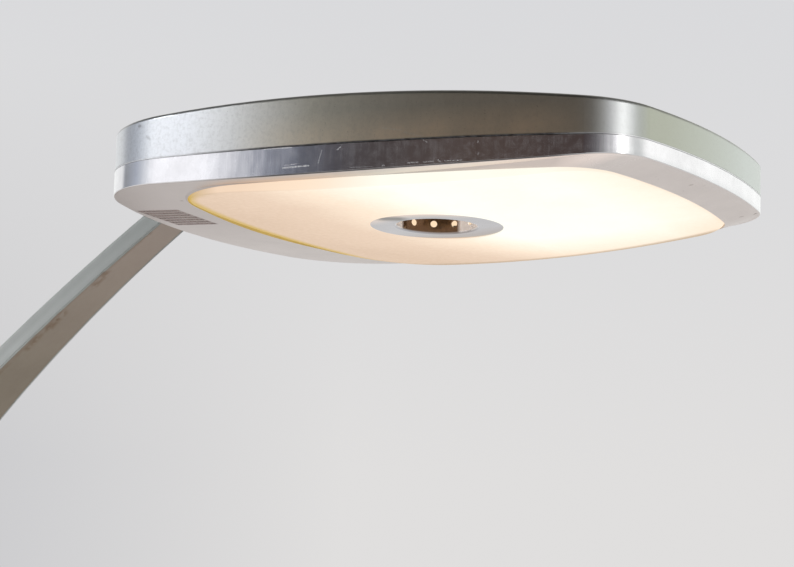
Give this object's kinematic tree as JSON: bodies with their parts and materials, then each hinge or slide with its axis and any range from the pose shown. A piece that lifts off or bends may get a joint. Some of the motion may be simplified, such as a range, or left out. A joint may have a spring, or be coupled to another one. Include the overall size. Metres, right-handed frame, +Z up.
{
  "type": "arc floor lamp",
  "caption": "Arc floor lamp: weighted base with foot switch, curved flat strap arm, and a tilting shallow head with a polished rim, opal diffuser and chrome vent cup.",
  "frame": {"origin": "on the floor, under the middle of the base", "axes": "+Z up; +X from the base's back, where the arm rises, towards the head; +Y to the left of +X"},
  "size_m": [1.1067, 0.3055, 1.434],
  "materials": {
    "head_paint": "satin metallic olive-grey lacquer",
    "polished_rim": "polished, fine handling scratches",
    "spring_steel": "bare spring steel",
    "opal_diffuser": "opal acrylic, satin, lit warm white",
    "cup_chrome": "bright chrome plate",
    "plain_steel": "zinc-plated steel",
    "nut_brass": "plated brass",
    "white_reflector": "white gloss enamel",
    "holder_plastic": "moulded phenolic",
    "bulb_glass": "opal bulb glass",
    "terminal_plastic": "moulded, natural",
    "hinge_metal": "satin die-casting",
    "washer_nylon": "nylon",
    "arm_paint": "satin metallic grey-green lacquer",
    "arm_cover_paint": "satin metallic olive-brown lacquer",
    "lead_sheath": "soft sheath",
    "black_rubber": "matt moulded rubber",
    "weight_iron": "as cast, primed",
    "grey_felt": "pressed felt",
    "button_plastic": "moulded, lightly polished"
  },
  "bodies": {
    "stand": {"arm_channel": "arm_paint", "arm_cover": "arm_cover_paint", "arm_knuckle": "hinge_metal", "arm_lead": "lead_sheath", "arm_foot": "plain_steel", "foot_bolts": "plain_steel", "tang_screws": "plain_steel", "arm_collar": "black_rubber", "base_weight": "weight_iron", "base_plate": "plain_steel", "felt_pad": "grey_felt", "plate_screws": "plain_steel", "base_trim": "polished_rim", "base_cover": "head_paint", "switch_bezel": "polished_rim", "switch_body": "holder_plastic", "cord_bush": "black_rubber"},
    "head": {"head_shell": "head_paint", "rim_frame": "polished_rim", "rim_clips": "spring_steel", "diffuser": "opal_diffuser", "vent_cup": "cup_chrome", "centre_stud": "plain_steel", "cup_nut": "nut_brass", "reflector": "white_reflector", "holder_bracket": "plain_steel", "lamp_holder_left": "holder_plastic", "lamp_holder_right": "holder_plastic", "bulb_left": "bulb_glass", "bulb_right": "bulb_glass", "terminal_block": "terminal_plastic", "hinge_bracket": "hinge_metal", "backing_plate": "plain_steel", "bracket_screws": "plain_steel", "hinge_pin": "plain_steel", "hinge_nut": "plain_steel", "friction_washers": "washer_nylon"},
    "button": {"switch_button": "button_plastic"}
  },
  "joints": [
    {"name": "head_tilt", "type": "hinge", "parent": "stand", "child": "head", "pos_m": [0.52656, 0, 1.4105], "axis": [0, 1, 0], "range_deg": [-25, 40]},
    {"name": "switch_press", "type": "slide", "parent": "stand", "child": "button", "axis": [0, 0, -1], "range_m": [0, 0.004], "stiffness_N_per_m": 900, "springref_m": -0.001}
  ]
}
